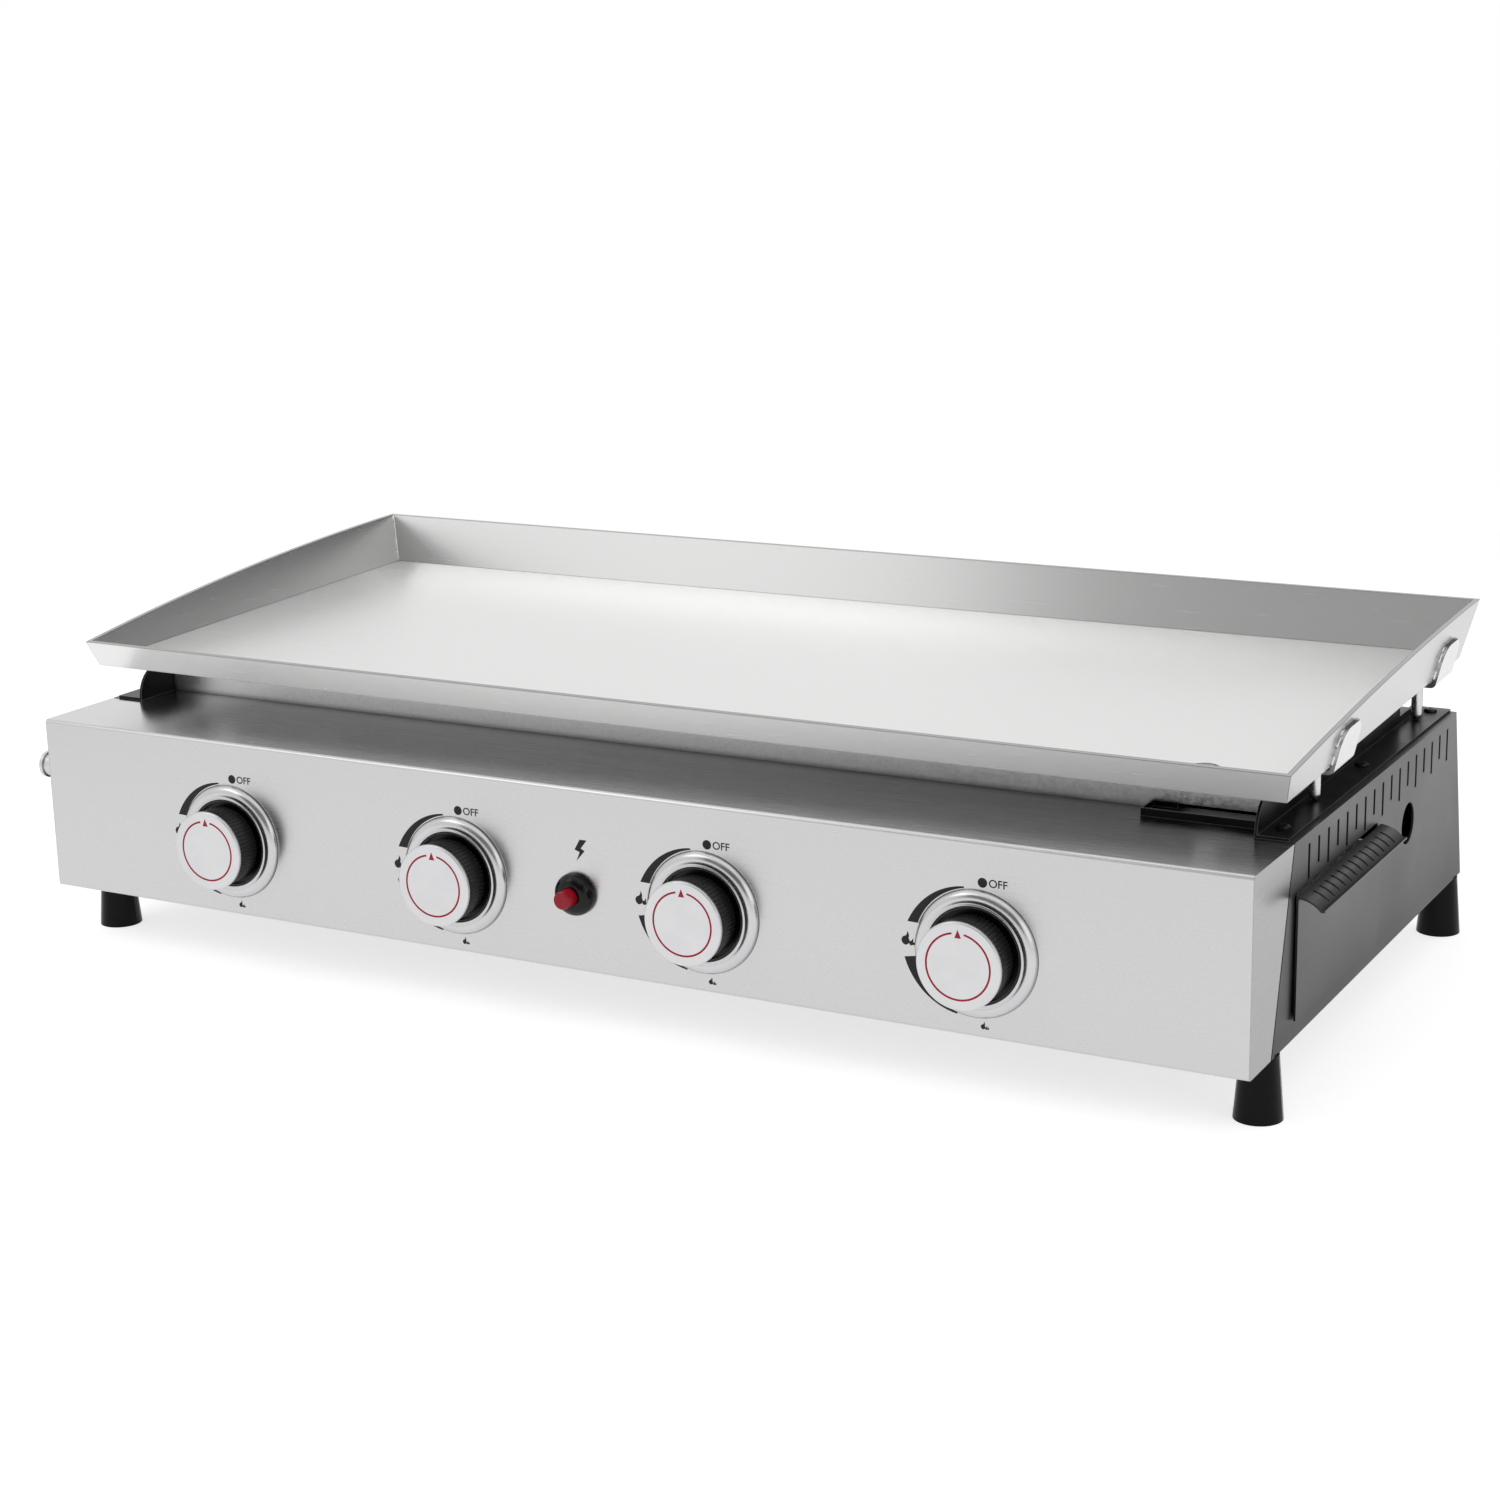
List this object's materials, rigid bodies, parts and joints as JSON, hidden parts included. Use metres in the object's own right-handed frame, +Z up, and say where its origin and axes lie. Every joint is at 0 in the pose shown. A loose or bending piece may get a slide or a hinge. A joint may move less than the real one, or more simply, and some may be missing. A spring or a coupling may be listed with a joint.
{
  "type": "table-top gas griddle",
  "caption": "Low steel body with gas burners, push-and-turn knobs, a push-button igniter and a grease drawer, under a lift-off flared griddle plate.",
  "frame": {"origin": "on the table under the middle of the object's bounding box", "axes": "+X to the right of the front panel, +Y from the front panel to the back, +Z up"},
  "size_m": [0.8536, 0.4259, 0.215],
  "materials": {
    "plate_steel": "pale brushed stainless steel with a soft satin sheen",
    "strap_steel": "satin stainless steel",
    "front_steel": "stainless steel brushed along the width, bright on its bent edges",
    "bezel_chrome": "bright chromed ring",
    "cap_steel": "silver-white satin cap with a red ring and pointer printed on it",
    "dark_paint": "anthracite powder coat, satin, finely textured",
    "black_enamel": "glossy black enamel",
    "galvanised": "dull galvanised steel with a fine grain",
    "burner_steel": "drawn stainless tube, dull",
    "zinc_steel": "zinc-plated steel",
    "valve_brass": "machined brass",
    "knob_plastic": "black satin plastic",
    "black_plastic": "black gloss plastic",
    "red_plastic": "red gloss plastic",
    "pale_plastic": "off-white moulded plastic",
    "ceramic": "white glazed ceramic",
    "lead_rubber": "black silicone sleeve",
    "foot_rubber": "black moulded rubber, smooth",
    "black_steel": "black passivated screw"
  },
  "bodies": {
    "chassis": {"back_panel": "dark_paint", "base_pan": "dark_paint", "bracket_left": "black_enamel", "bracket_right": "black_enamel", "bracket_screws": "black_steel", "burner_1": "burner_steel", "burner_2": "burner_steel", "burner_3": "burner_steel", "burner_4": "burner_steel", "burner_nuts": "zinc_steel", "burner_rail": "galvanised", "drawer_runners": "galvanised", "electrodes": "ceramic", "feet": "foot_rubber", "foot_screws": "zinc_steel", "front_panel": "front_steel", "gas_inlet": "zinc_steel", "gas_manifold": "zinc_steel", "grease_chute": "black_enamel", "heat_shield": "galvanised", "igniter_body": "pale_plastic", "igniter_collar": "black_plastic", "ignition_leads": "lead_rubber", "inlet_nut": "zinc_steel", "knob_bezels": "bezel_chrome", "knob_cups": "black_enamel", "manifold_hangers": "galvanised", "panel_screws": "black_steel", "side_panel_left": "dark_paint", "side_panel_right": "dark_paint", "valve_1": "valve_brass", "valve_2": "valve_brass", "valve_3": "valve_brass", "valve_4": "valve_brass"},
    "plate": {"griddle_plate": "plate_steel", "plate_straps": "strap_steel", "plate_feet": "strap_steel"},
    "drawer": {"drawer_front": "dark_paint", "drawer_tray": "galvanised"},
    "button": {"igniter_button": "red_plastic"},
    "push_1": {"push_washer_1": "zinc_steel"},
    "knob_1": {"stem_1": "valve_brass", "knob_1": "knob_plastic", "knob_cap_1": "cap_steel"},
    "push_2": {"push_washer_2": "zinc_steel"},
    "knob_2": {"stem_2": "valve_brass", "knob_2": "knob_plastic", "knob_cap_2": "cap_steel"},
    "push_3": {"push_washer_3": "zinc_steel"},
    "knob_3": {"stem_3": "valve_brass", "knob_3": "knob_plastic", "knob_cap_3": "cap_steel"},
    "push_4": {"push_washer_4": "zinc_steel"},
    "knob_4": {"stem_4": "valve_brass", "knob_4": "knob_plastic", "knob_cap_4": "cap_steel"}
  },
  "joints": [
    {"name": "plate_lift", "type": "slide", "parent": "chassis", "child": "plate", "axis": [0, 0, 1], "range_m": [0, 0.1]},
    {"name": "drawer_slide", "type": "slide", "parent": "chassis", "child": "drawer", "axis": [1, 0, 0], "range_m": [0, 0.115]},
    {"name": "button_press", "type": "slide", "parent": "chassis", "child": "button", "axis": [0, 1, 0], "range_m": [0, 0.006], "stiffness_N_per_m": 800, "springref_m": -0.003},
    {"name": "knob_1_push", "type": "slide", "parent": "chassis", "child": "push_1", "axis": [0, 1, 0], "range_m": [0, 0.0035], "stiffness_N_per_m": 2000, "springref_m": -0.003},
    {"name": "knob_1_turn", "type": "hinge", "parent": "push_1", "child": "knob_1", "pos_m": [-0.24505, -0.18955, 0.0836], "axis": [0, -1, 0], "range_deg": [0, 180]},
    {"name": "knob_2_push", "type": "slide", "parent": "chassis", "child": "push_2", "axis": [0, 1, 0], "range_m": [0, 0.0035], "stiffness_N_per_m": 2000, "springref_m": -0.003},
    {"name": "knob_2_turn", "type": "hinge", "parent": "push_2", "child": "knob_2", "pos_m": [-0.07745, -0.18955, 0.0836], "axis": [0, -1, 0], "range_deg": [0, 180]},
    {"name": "knob_3_push", "type": "slide", "parent": "chassis", "child": "push_3", "axis": [0, 1, 0], "range_m": [0, 0.0035], "stiffness_N_per_m": 2000, "springref_m": -0.003},
    {"name": "knob_3_turn", "type": "hinge", "parent": "push_3", "child": "knob_3", "pos_m": [0.09015, -0.18955, 0.0836], "axis": [0, -1, 0], "range_deg": [0, 180]},
    {"name": "knob_4_push", "type": "slide", "parent": "chassis", "child": "push_4", "axis": [0, 1, 0], "range_m": [0, 0.0035], "stiffness_N_per_m": 2000, "springref_m": -0.003},
    {"name": "knob_4_turn", "type": "hinge", "parent": "push_4", "child": "knob_4", "pos_m": [0.25775, -0.18955, 0.0836], "axis": [0, -1, 0], "range_deg": [0, 180]}
  ]
}
